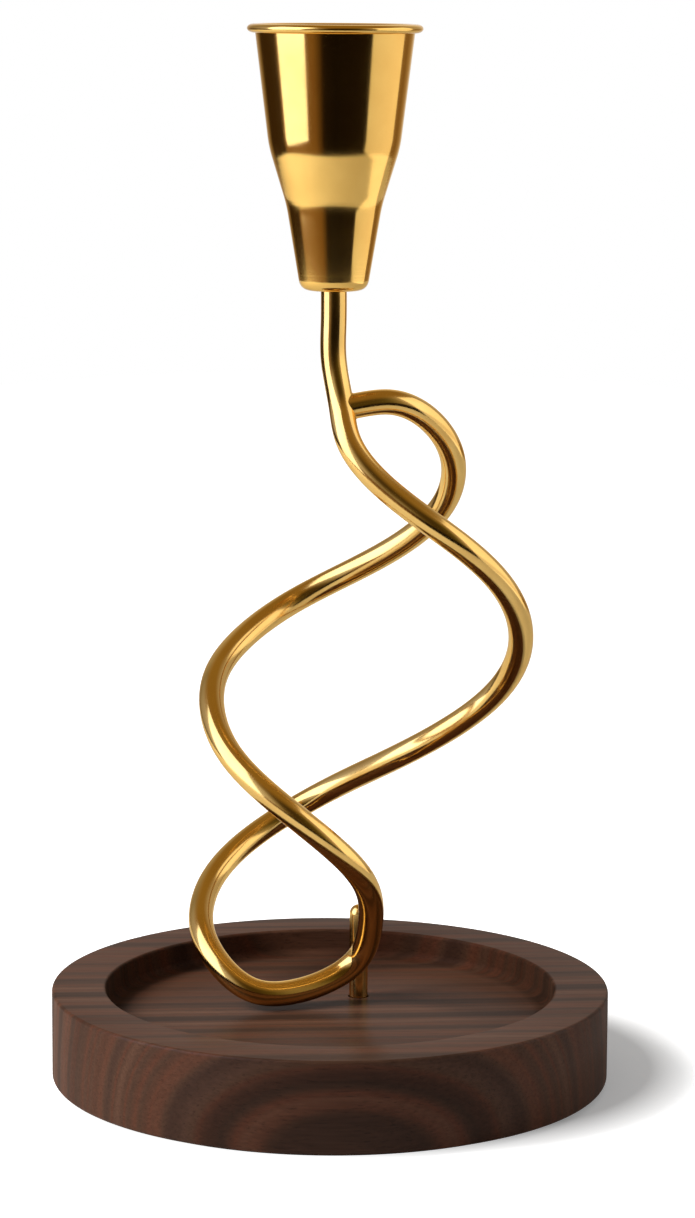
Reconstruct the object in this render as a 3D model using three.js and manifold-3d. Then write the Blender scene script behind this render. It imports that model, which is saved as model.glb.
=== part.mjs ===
// Brass swirl candle holder on a turned walnut base.
// Millimetres, +Z up, origin on the table under the middle of the base, viewer on the -Y side.
import * as THREE from 'three';
import { mergeVertices } from 'three/addons/utils/BufferGeometryUtils.js';
import Module from 'manifold-3d';

const wasm = await Module();
wasm.setup();

// Walnut base
const BASE_DIAMETER = 140;
const RIM_WIDTH = 13.6;
const FLOOR_THICKNESS = 15.9;
const DISH_DEPTH = 7.1;
const FOOT_ROUNDING = 1.2;
const RIM_ROUNDING = 0.8;
const DISH_FILLET = 2.4;

// Felt under the base
const FELT_THICKNESS = 1.2;
const FELT_INSET = 4;

// Bent brass rod
const ROD_DIAMETER = 6.35;
const ROD_SIDES = 14;
const ROD_STEP = 4;
const SWIRL_HEIGHT = 162;
const SWIRL_WIDTH = 80;
const SWIRL_DEPTH = 73.2;
const STEM_LENGTH = 16.2;
const END_GAP = 0.8;

// Brazed seams
const STEM_BRAZE_LEG = 0.9;
const POST_BEAD_SWELL = 0.3;
const POST_BRAZE_FILM = 0.3;

// Post behind the lower loop
const POST_DIAMETER = 4.76;
const POST_HEIGHT = 24.1;
const POST_RIGHT = 7.2;
const SOCKET_DEPTH = 3;

// Spun cup: outside radii at its bends and the heights of its three cones
const CUP_WALL = 1.2;
const CUP_FOOT_RADIUS = 8.2;
const NECK_RADIUS = 11.7;
const SHOULDER_RADIUS = 16;
const LIP_RADIUS = 19.7;
const SOCKET_CONE_HEIGHT = 20.8;
const SHOULDER_CONE_HEIGHT = 14;
const LIP_CONE_HEIGHT = 28.6;
const LIP_BEAD_WIDTH = 3.4;
const LIP_BEAD_HEIGHT = 2.2;
const CUP_FOOT_ROUNDING = 2.6;
const BEND_ROUNDING = 2.5;

// Fasteners: each screw is as thick as the wall left round its tapped hole allows
const ROD_TAP_WALL = 1.025;
const POST_TAP_WALL = 0.73;
const CUP_SCREW_GRIP = 6;
const POST_SCREW_GRIP = 7;
const WASHER_THICKNESS = 0.8;
const CUP_WASHER_RIM = 0.4;
const POST_WASHER_RIM = 2;
const SCREW_SLOT = 0.9;
const PAN_HEAD_PROPORTION = 0.65;

// Clearances
const JOINT_GAP = 0.3;
const LOOP_CLEARANCE = 0.8;
const SCREW_CLEARANCE = 0.15;
const TAP_OVERRUN = 1.5;
const POCKET_CLEARANCE = 1.5;
const CUT_OVERRUN = 1;

// Facets
const TURNED_SEGMENTS = 60;
const SMALL_SEGMENTS = 20;
const ARC_STEPS = 3;

const rodRadius = ROD_DIAMETER / 2;
const postRadius = POST_DIAMETER / 2;
const baseRadius = BASE_DIAMETER / 2;
const postBrazeGap = POST_BRAZE_FILM + 2 * JOINT_GAP;
const cupScrewDiameter = ROD_DIAMETER - 2 * (ROD_TAP_WALL + SCREW_CLEARANCE);
const postScrewDiameter = POST_DIAMETER - 2 * (POST_TAP_WALL + SCREW_CLEARANCE);
const headHeight = (screwDiameter) => PAN_HEAD_PROPORTION * screwDiameter;
const headRadius = (screwDiameter) => screwDiameter;
const postWasherRadius = headRadius(postScrewDiameter) + POST_WASHER_RIM;
const pocketDepth = WASHER_THICKNESS + headHeight(postScrewDiameter) + POCKET_CLEARANCE;

const BRASS = { color: 0xb98a3c, metalness: 1, roughness: 0.12 };
const BRAZE = { color: 0xb08238, metalness: 1, roughness: 0.2 };
const STEEL = { color: 0xa9a79f, metalness: 1, roughness: 0.35 };
const WALNUT = { color: 0x5a4034, metalness: 0, roughness: 0.42 };
const FELT = { color: 0x2c2622, metalness: 0, roughness: 0.95 };

// A place on the rod's centre line: right, back and up, as shares of the swirl's width, depth and height.
const place = (right, back, up) => new THREE.Vector3(
  right * SWIRL_WIDTH,
  back * SWIRL_DEPTH,
  LOOP_CLEARANCE + rodRadius + up * SWIRL_HEIGHT,
);

// Top of the swirl, where the straight stem starts.
const STEM_FOOT = place(0, 0, 1);
const cupSeat = STEM_FOOT.z + STEM_LENGTH;

// Where the rod's end is brazed to its own stem, and the side from which that end comes.
const STEM_JOINT = place(0.025, -0.028, 0.926);
const END_SIDE = new THREE.Vector3(0.975, 0.222, 0).normalize();
const ROD_END = STEM_JOINT.clone().addScaledVector(END_SIDE, rodRadius + END_GAP);

const ROD_ROUTE = [
  // straight stem, then the lean to the right
  new THREE.Vector3(0, 0, cupSeat + CUT_OVERRUN),
  new THREE.Vector3(0, 0, (STEM_FOOT.z + cupSeat) / 2),
  STEM_FOOT,
  STEM_JOINT,
  place(0.045, -0.092, 0.88),
  // in front of the upper crossing, round the right bulge and away behind the lower crossing
  place(0.19, -0.168, 0.797),
  place(0.383, -0.19, 0.727),
  place(0.521, -0.084, 0.657),
  place(0.589, 0.149, 0.536),
  place(0.501, 0.32, 0.445),
  place(0.216, 0.471, 0.339),
  place(-0.045, 0.688, 0.253),
  place(-0.288, 0.598, 0.181),
  // lower loop, past the post on its right
  place(-0.415, 0.284, 0.108),
  place(-0.389, 0.117, 0.066),
  place(-0.24, 0.018, 0.006),
  place(-0.131, 0.046, 0),
  place(0.082, 0.123, 0.043),
  place(0.126, 0.014, 0.115),
  place(0.05, -0.274, 0.246),
  // in front of the lower crossing, round the left bulge and up behind the upper crossing
  place(-0.085, -0.312, 0.308),
  place(-0.314, -0.174, 0.402),
  place(-0.374, 0.076, 0.48),
  place(-0.317, 0.286, 0.526),
  place(-0.12, 0.505, 0.588),
  place(0.21, 0.451, 0.681),
  // upper loop, back to the stem
  place(0.362, 0.308, 0.768),
  place(0.333, 0.11, 0.88),
  place(0.177, 0.012, 0.93),
  ROD_END,
];

/** Smooth curve through given points whose bending changes steadily, as in a springy rod. */
class SpringCurve extends THREE.Curve {
  constructor(points) {
    super();
    this.points = points;
    this.knots = [0];
    for (let i = 1; i < points.length; i += 1) {
      this.knots.push(this.knots[i - 1] + points[i].distanceTo(points[i - 1]));
    }
    this.bends = ['x', 'y', 'z'].map((axis) => this.solveBends(axis));
  }

  // Second derivatives at the points, zero at both ends.
  solveBends(axis) {
    const { knots } = this;
    const values = this.points.map((point) => point[axis]);
    const last = values.length - 1;
    const upper = new Array(last + 1).fill(0);
    const bends = new Array(last + 1).fill(0);
    for (let i = 1; i < last; i += 1) {
      const before = knots[i] - knots[i - 1];
      const after = knots[i + 1] - knots[i];
      const slopeChange = (values[i + 1] - values[i]) / after - (values[i] - values[i - 1]) / before;
      const pivot = 2 * (before + after) - before * upper[i - 1];
      upper[i] = after / pivot;
      bends[i] = (6 * slopeChange - before * bends[i - 1]) / pivot;
    }
    for (let i = last - 1; i > 0; i -= 1) {
      bends[i] -= upper[i] * bends[i + 1];
    }
    return bends;
  }

  getPoint(t, target = new THREE.Vector3()) {
    const { knots, points } = this;
    const along = t * knots[knots.length - 1];
    let i = 0;
    while (i < knots.length - 2 && knots[i + 1] < along) {
      i += 1;
    }
    const span = knots[i + 1] - knots[i];
    const b = (along - knots[i]) / span;
    const a = 1 - b;
    const bent = ['x', 'y', 'z'].map((axis, k) => {
      const sag = (a ** 3 - a) * this.bends[k][i] + (b ** 3 - b) * this.bends[k][i + 1];
      return a * points[i][axis] + b * points[i + 1][axis] + (sag * span * span) / 6;
    });
    return target.set(...bent);
  }
}

/** Stretch of a curve between two of its parameters. */
class Stretch extends THREE.Curve {
  constructor(curve, from, to) {
    super();
    Object.assign(this, { curve, from, to });
  }

  getPoint(t, target = new THREE.Vector3()) {
    return this.curve.getPoint(THREE.MathUtils.lerp(this.from, this.to, t), target);
  }
}

/** Closed solid of a geometry, with its doubled vertices merged and empty triangles dropped. */
function toSolid(geometry) {
  const bare = geometry.clone();
  bare.deleteAttribute('normal');
  bare.deleteAttribute('uv');
  const merged = mergeVertices(bare);
  const corners = merged.index.array;
  const triangles = [];
  for (let i = 0; i < corners.length; i += 3) {
    const [a, b, c] = corners.slice(i, i + 3);
    if (a !== b && b !== c && c !== a) {
      triangles.push(a, b, c);
    }
  }
  const vertProperties = merged.attributes.position.array;
  const triVerts = Uint32Array.from(triangles);
  return new wasm.Manifold(new wasm.Mesh({ numProp: 3, vertProperties, triVerts }));
}

/** Geometry of a solid. */
function toGeometry(solid) {
  const { vertProperties, triVerts } = solid.getMesh();
  const geometry = new THREE.BufferGeometry();
  geometry.setAttribute('position', new THREE.BufferAttribute(vertProperties, 3));
  geometry.setIndex(new THREE.BufferAttribute(triVerts, 1));
  geometry.computeVertexNormals();
  return geometry;
}

/** Named sub-part with a material of its own. */
function part(name, geometry, finish) {
  const mesh = new THREE.Mesh(geometry, new THREE.MeshStandardMaterial(finish));
  mesh.name = name;
  return mesh;
}

/** Solid of revolution about Z from a profile path in (radius, height). */
function turned(profile, segments) {
  return new THREE.LatheGeometry(profile.getPoints(Math.round(ARC_STEPS)), segments).rotateX(Math.PI / 2);
}

/** Upright cylinder from one height to another. */
function rodOf(radius, bottom, top, segments = SMALL_SEGMENTS) {
  const length = top - bottom;
  const cylinder = new THREE.CylinderGeometry(radius, radius, length, segments);
  return cylinder.rotateX(Math.PI / 2).translate(0, 0, bottom + length / 2);
}

/** Round bar swept along a curve. */
function sweptBar(curve, radius) {
  const section = new THREE.Shape();
  section.absarc(0, 0, radius, 0, 2 * Math.PI);
  return new THREE.ExtrudeGeometry(section, {
    steps: Math.ceil(curve.getLength() / ROD_STEP),
    curveSegments: Math.round(ROD_SIDES / 2),
    extrudePath: curve,
    bevelEnabled: false,
  });
}

/** Where an upright post of the given radius at x just clears the back of a curved bar. */
function standBehind(curve, x, top, reach) {
  const stand = { y: -Infinity };
  for (const point of curve.getSpacedPoints(Math.ceil(curve.getLength()))) {
    const aside = point.x - x;
    if (point.z > top || Math.abs(aside) >= reach) {
      continue;
    }
    const y = point.y + Math.sqrt(reach ** 2 - aside ** 2);
    if (y > stand.y) {
      stand.y = y;
      stand.touch = point;
    }
  }
  return stand;
}

/** Disc with a dish in its top; the screw pocket, hole and post socket are cut at the post's place. */
function makeBase(postPlace) {
  const height = FLOOR_THICKNESS + DISH_DEPTH;
  const dishRadius = baseRadius - RIM_WIDTH;
  const quarter = Math.PI / 2;
  const profile = new THREE.Path();
  profile.moveTo(0, 0);
  profile.lineTo(baseRadius - FOOT_ROUNDING, 0);
  profile.absarc(baseRadius - FOOT_ROUNDING, FOOT_ROUNDING, FOOT_ROUNDING, -quarter, 0);
  profile.lineTo(baseRadius, height - RIM_ROUNDING);
  profile.absarc(baseRadius - RIM_ROUNDING, height - RIM_ROUNDING, RIM_ROUNDING, 0, quarter);
  profile.lineTo(dishRadius + RIM_ROUNDING, height);
  profile.absarc(dishRadius + RIM_ROUNDING, height - RIM_ROUNDING, RIM_ROUNDING, quarter, 2 * quarter);
  profile.lineTo(dishRadius, FLOOR_THICKNESS + DISH_FILLET);
  profile.absarc(dishRadius - DISH_FILLET, FLOOR_THICKNESS + DISH_FILLET, DISH_FILLET, 0, -quarter, true);
  profile.lineTo(0, FLOOR_THICKNESS);
  const { x, y } = postPlace;
  const pocket = rodOf(postWasherRadius + POCKET_CLEARANCE, -CUT_OVERRUN, pocketDepth).translate(x, y, 0);
  const hole = rodOf(postScrewDiameter / 2 + SCREW_CLEARANCE, 0, FLOOR_THICKNESS).translate(x, y, 0);
  const socketBottom = FLOOR_THICKNESS - SOCKET_DEPTH;
  const socketTop = FLOOR_THICKNESS + CUT_OVERRUN;
  const socket = rodOf(postRadius + JOINT_GAP, socketBottom, socketTop).translate(x, y, 0);
  return toGeometry(
    toSolid(turned(profile, TURNED_SEGMENTS))
      .subtract(toSolid(pocket))
      .subtract(toSolid(hole))
      .subtract(toSolid(socket)),
  );
}

/** Post with a domed top and a tapped hole in its foot; height 0 is the dish floor. */
function makePost() {
  const profile = new THREE.Path();
  profile.moveTo(0, -SOCKET_DEPTH);
  profile.lineTo(postRadius, -SOCKET_DEPTH);
  profile.lineTo(postRadius, POST_HEIGHT - postRadius);
  profile.absarc(0, POST_HEIGHT - postRadius, postRadius, 0, Math.PI / 2);
  const tapTop = POST_SCREW_GRIP + TAP_OVERRUN - SOCKET_DEPTH;
  const tapBottom = -SOCKET_DEPTH - CUT_OVERRUN;
  const tap = rodOf(postScrewDiameter / 2 + SCREW_CLEARANCE, tapBottom, tapTop);
  return toGeometry(toSolid(turned(profile, SMALL_SEGMENTS)).subtract(toSolid(tap)));
}

/** The bent rod, faced square at the cup's seat and tapped there for the cup's screw. */
function makeRod(curve) {
  const above = cupSeat + 2 * CUT_OVERRUN;
  const faced = rodOf(ROD_DIAMETER, cupSeat, above);
  const tapBottom = cupSeat - CUP_SCREW_GRIP - TAP_OVERRUN;
  const tap = rodOf(cupScrewDiameter / 2 + SCREW_CLEARANCE, tapBottom, above);
  return toGeometry(toSolid(sweptBar(curve, rodRadius)).subtract(toSolid(faced)).subtract(toSolid(tap)));
}

/** The room that a stretch of the rod needs, with the brazing gap round it. */
function rodSpace([from, to]) {
  return toSolid(sweptBar(new Stretch(fullCurve, from, to), rodRadius + JOINT_GAP));
}

/** Flared collar of brazing metal round the rod's end, fitted to the stem and flush at its sides. */
function makeStemBraze() {
  const thin = rodRadius + 2 * JOINT_GAP;
  const wide = rodRadius + STEM_BRAZE_LEG + JOINT_GAP;
  const inset = rodRadius / 2;
  const length = inset + END_GAP + 2 * STEM_BRAZE_LEG;
  const profile = new THREE.Path();
  profile.moveTo(0, 0);
  profile.lineTo(wide, 0);
  profile.quadraticCurveTo(thin, length / 2, thin, length);
  profile.lineTo(0, length);
  const flare = turned(profile, SMALL_SEGMENTS).scale(thin / wide, 1, 1);
  const aside = new THREE.Vector3(-END_SIDE.y, END_SIDE.x, 0);
  const up = new THREE.Vector3(0, 0, 1);
  flare.applyMatrix4(new THREE.Matrix4().makeBasis(aside, up, END_SIDE));
  flare.translate(...STEM_JOINT.clone().addScaledVector(END_SIDE, rodRadius - inset));
  return toGeometry(toSolid(flare).subtract(rodSpace(STEM_STRETCH)).subtract(rodSpace(END_STRETCH)));
}

/** Bead of brazing metal between the lower loop and the post and in the corners round them. */
function makePostBraze(postPlace, touch) {
  const toPost = new THREE.Vector3(postPlace.x - touch.x, postPlace.y - touch.y, 0).normalize();
  const middle = touch.clone().addScaledVector(toPost, rodRadius + postBrazeGap / 2);
  const bead = new THREE.SphereGeometry(rodRadius + POST_BEAD_SWELL, SMALL_SEGMENTS, SMALL_SEGMENTS / 2);
  bead.translate(...middle);
  const postSpace = rodOf(postRadius + JOINT_GAP, 0, POST_HEIGHT).translate(postPlace.x, postPlace.y, 0);
  return toGeometry(toSolid(bead).subtract(rodSpace(LOOP_STRETCH)).subtract(toSolid(postSpace)));
}

/** Rounds the corner at b between a and c on a profile path. */
function roundCorner(path, a, b, c, rounding) {
  const from = b.clone().add(a.clone().sub(b).setLength(rounding));
  const to = b.clone().add(c.clone().sub(b).setLength(rounding));
  path.lineTo(from.x, from.y);
  path.quadraticCurveTo(b.x, b.y, to.x, to.y);
}

/** Thin spun shell of three cones with a rolled lip and a screw hole in its floor. */
function makeCup() {
  const shoulderHeight = SOCKET_CONE_HEIGHT + SHOULDER_CONE_HEIGHT;
  const beadHeight = shoulderHeight + LIP_CONE_HEIGHT;
  const holeRadius = cupScrewDiameter / 2 + SCREW_CLEARANCE;
  const outside = [
    new THREE.Vector2(holeRadius, 0),
    new THREE.Vector2(CUP_FOOT_RADIUS, 0),
    new THREE.Vector2(NECK_RADIUS, SOCKET_CONE_HEIGHT),
    new THREE.Vector2(SHOULDER_RADIUS, shoulderHeight),
    new THREE.Vector2(LIP_RADIUS, beadHeight),
  ];
  const inside = outside.map(({ x, y }) => new THREE.Vector2(x - CUP_WALL, y));
  inside[0].set(holeRadius, CUP_WALL);
  inside[1].y = CUP_WALL;
  const profile = new THREE.Path();
  profile.moveTo(holeRadius, 0);
  roundCorner(profile, outside[0], outside[1], outside[2], CUP_FOOT_ROUNDING);
  roundCorner(profile, outside[1], outside[2], outside[3], BEND_ROUNDING);
  roundCorner(profile, outside[2], outside[3], outside[4], BEND_ROUNDING);
  profile.lineTo(LIP_RADIUS, beadHeight - LIP_BEAD_HEIGHT / 2);
  profile.absellipse(
    LIP_RADIUS,
    beadHeight,
    LIP_BEAD_WIDTH / 2,
    LIP_BEAD_HEIGHT / 2,
    -Math.PI / 2,
    Math.PI,
  );
  roundCorner(profile, inside[4], inside[3], inside[2], BEND_ROUNDING);
  roundCorner(profile, inside[3], inside[2], inside[1], BEND_ROUNDING);
  profile.lineTo(inside[1].x, inside[1].y);
  profile.lineTo(holeRadius, CUP_WALL);
  profile.lineTo(holeRadius, 0);
  return turned(profile, TURNED_SEGMENTS);
}

/** Slotted pan head screw; its shank points up and its head hangs below height 0. */
function makeScrew(diameter, length) {
  const radius = headRadius(diameter);
  const height = headHeight(diameter);
  const profile = new THREE.Path();
  profile.moveTo(0, -height);
  profile.lineTo(radius - height / 2, -height);
  profile.quadraticCurveTo(radius, -height, radius, -height / 2);
  profile.lineTo(radius, 0);
  profile.lineTo(diameter / 2, 0);
  profile.lineTo(diameter / 2, length);
  profile.lineTo(0, length);
  const slot = new THREE.BoxGeometry(3 * radius, SCREW_SLOT, height);
  slot.translate(0, 0, -height);
  return toGeometry(toSolid(turned(profile, SMALL_SEGMENTS)).subtract(toSolid(slot)));
}

/** Flat washer resting on height 0. */
function makeWasher(screwDiameter, radius) {
  const hole = screwDiameter / 2 + SCREW_CLEARANCE;
  const profile = new THREE.Path();
  profile.moveTo(hole, 0);
  profile.lineTo(radius, 0);
  profile.lineTo(radius, WASHER_THICKNESS);
  profile.lineTo(hole, WASHER_THICKNESS);
  profile.lineTo(hole, 0);
  return turned(profile, SMALL_SEGMENTS);
}

// Shares of the rod's length: the stem, the lower loop and the end.
const STEM_STRETCH = [0, 0.3];
const LOOP_STRETCH = [0.3, 0.7];
const END_STRETCH = [0.7, 1];

const rodCurve = new SpringCurve(ROD_ROUTE);
const fullCurve = new SpringCurve([...ROD_ROUTE, STEM_JOINT]);
const stand = standBehind(rodCurve, POST_RIGHT, POST_HEIGHT, rodRadius + postBrazeGap + postRadius);
const postPlace = new THREE.Vector3(POST_RIGHT, stand.y, 0);

const holder = new THREE.Group();

const felt = part('felt_pad', rodOf(baseRadius - FELT_INSET, 0, FELT_THICKNESS, TURNED_SEGMENTS), FELT);
holder.add(felt);

// Wood and its fasteners; height 0 is the underside of the wood.
const woodGroup = new THREE.Group();
woodGroup.position.z = FELT_THICKNESS;
holder.add(woodGroup);
woodGroup.add(part('base', makeBase(postPlace), WALNUT));
const postWasher = part('post_washer', makeWasher(postScrewDiameter, postWasherRadius), STEEL);
postWasher.position.set(postPlace.x, postPlace.y, pocketDepth - WASHER_THICKNESS);
woodGroup.add(postWasher);
const woodUnderPost = FLOOR_THICKNESS - SOCKET_DEPTH - pocketDepth;
const postScrewLength = WASHER_THICKNESS + woodUnderPost + POST_SCREW_GRIP;
const postScrew = part('post_screw', makeScrew(postScrewDiameter, postScrewLength), STEEL);
postScrew.position.copy(postWasher.position);
woodGroup.add(postScrew);

// Brass work; height 0 is the dish floor.
const brassGroup = new THREE.Group();
brassGroup.position.z = FLOOR_THICKNESS;
woodGroup.add(brassGroup);
const post = part('post', makePost(), BRASS);
post.position.copy(postPlace);
brassGroup.add(post);
brassGroup.add(part('swirl_rod', makeRod(rodCurve), BRASS));
brassGroup.add(part('stem_braze', makeStemBraze(), BRAZE));
brassGroup.add(part('post_braze', makePostBraze(postPlace, stand.touch), BRAZE));

// Cup on the rod's top end; height 0 is its underside.
const cupGroup = new THREE.Group();
cupGroup.position.z = cupSeat;
brassGroup.add(cupGroup);
cupGroup.add(part('candle_cup', makeCup(), BRASS));
const cupWasherRadius = headRadius(cupScrewDiameter) + CUP_WASHER_RIM;
const cupWasher = part('cup_washer', makeWasher(cupScrewDiameter, cupWasherRadius), BRASS);
cupWasher.position.z = CUP_WALL;
cupGroup.add(cupWasher);
const cupScrewLength = WASHER_THICKNESS + CUP_WALL + CUP_SCREW_GRIP;
const cupScrew = part('cup_screw', makeScrew(cupScrewDiameter, cupScrewLength), BRASS);
cupScrew.rotation.x = Math.PI;
cupScrew.position.z = CUP_WALL + WASHER_THICKNESS;
cupGroup.add(cupScrew);

export default holder;
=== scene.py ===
"""Looks of a brass swirl candle holder on a turned walnut base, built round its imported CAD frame.

Lengths in the fields of the classes are millimetres and Blender's own units are metres, in the CAD
model's frame: +Z up, the table at height 0, the viewer on the -Y side.
"""

import logging
import math
from dataclasses import dataclass, field
from enum import Enum
from typing import Any, Sequence

import bmesh
import bpy
import numpy as np
from bpy.types import ID, Material, Mesh, Node, NodeSocket, NodeTree, Object
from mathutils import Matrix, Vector
from mathutils.bvhtree import BVHTree


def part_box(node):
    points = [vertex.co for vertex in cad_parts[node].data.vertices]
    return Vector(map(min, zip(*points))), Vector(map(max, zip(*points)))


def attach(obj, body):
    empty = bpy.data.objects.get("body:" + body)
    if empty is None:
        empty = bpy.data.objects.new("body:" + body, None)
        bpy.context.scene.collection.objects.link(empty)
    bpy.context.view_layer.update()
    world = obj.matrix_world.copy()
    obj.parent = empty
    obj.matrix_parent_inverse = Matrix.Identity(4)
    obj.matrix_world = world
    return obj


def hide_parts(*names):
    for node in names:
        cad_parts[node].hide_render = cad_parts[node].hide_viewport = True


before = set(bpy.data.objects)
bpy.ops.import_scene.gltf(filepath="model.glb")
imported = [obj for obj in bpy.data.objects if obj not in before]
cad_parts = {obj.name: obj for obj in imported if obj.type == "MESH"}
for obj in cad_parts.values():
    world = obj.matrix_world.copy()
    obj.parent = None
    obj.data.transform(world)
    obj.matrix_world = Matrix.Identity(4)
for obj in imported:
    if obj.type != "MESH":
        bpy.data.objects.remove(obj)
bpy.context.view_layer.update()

MM = 0.001
LOG = logging.getLogger("candle_holder")
# Angles in degrees above which an edge stays sharp, on most pieces and on brazed seams.
CREASE = 40.0
SEAM_CREASE = 80.0
# Facets across a brazed seam.
SEAM_STEPS = 8
# Length in millimetres of the rays that find one bar's surface from another.
RAY_REACH = 12.0

Colour = tuple[float, float, float, float]
Point = tuple[float, float, float]
# Radius, X and Y of a level circle.
Circle = tuple[float, float, float]


class Slot(Enum):
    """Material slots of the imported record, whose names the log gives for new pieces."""

    WALNUT = "walnut"
    BRASS = "brass"
    BRAZE = "braze"
    FELT = "felt"


class Making(Enum):
    """How a brass piece was worked, which sets the marks on its surface."""

    DRAWN = "drawn"
    SPUN = "spun"
    BRAZED = "brazed"


def linear(hex_colour: str) -> Colour:
    """Turns an sRGB hex colour into linear light.

    Args:
        hex_colour: Colour as "#rrggbb".

    Returns:
        Linear red, green, blue and full alpha.
    """
    channels = [int(hex_colour[i:i + 2], 16) / 255 for i in (1, 3, 5)]
    light = [c / 12.92 if c <= 0.04045 else ((c + 0.055) / 1.055) ** 2.4 for c in channels]
    return (light[0], light[1], light[2], 1.0)


def add_node(
    tree: NodeTree,
    kind: str,
    inputs: dict[str | int, Any] | None = None,
    stops: Sequence[tuple[float, str]] = (),
    **settings: Any,
) -> Node:
    """Adds a node with its settings and links.

    Args:
        tree: Node tree that gets the node.
        kind: Blender's name of the node type.
        inputs: Input name or number to its value; an output socket is linked, other values are set.
        stops: Places and hex colours of a colour ramp's stops.
        **settings: Properties of the node itself.

    Returns:
        The new node.
    """
    made = tree.nodes.new(kind)
    for name, value in settings.items():
        setattr(made, name, value)
    for key, value in (inputs or {}).items():
        if isinstance(value, NodeSocket):
            tree.links.new(value, made.inputs[key])
        else:
            made.inputs[key].default_value = value
    for i, (position, hex_colour) in enumerate(stops):
        elements = made.color_ramp.elements
        stop = elements[i] if i < 2 else elements.new(position)
        stop.position = position
        stop.color = linear(hex_colour)
    return made


@dataclass(frozen=True)
class Finish:
    """A material named for what it is and how its surface was made."""

    name: str

    def make(self) -> Material:
        """Makes the material.

        Returns:
            Material with the finish's own node tree.
        """
        material = bpy.data.materials.new(self.name)
        material.use_nodes = True
        tree = material.node_tree
        tree.nodes.clear()
        shader = self.dress(tree)
        add_node(tree, "ShaderNodeOutputMaterial", {"Surface": shader.outputs[0]})
        return material

    def millimetres(self, tree: NodeTree) -> NodeSocket:
        """Gives the place on the piece in millimetres.

        Args:
            tree: The material's node tree.

        Returns:
            Vector output of the place.
        """
        place = add_node(tree, "ShaderNodeTexCoord")
        scaled = add_node(
            tree, "ShaderNodeVectorMath", {0: place.outputs["Object"], "Scale": 1 / MM}, operation="SCALE"
        )
        return scaled.outputs["Vector"]

    def dress(self, tree: NodeTree) -> Node:
        """Adds the finish's nodes; each finish has its own.

        Args:
            tree: The material's node tree.

        Returns:
            The shader node.
        """
        raise NotImplementedError


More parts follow.
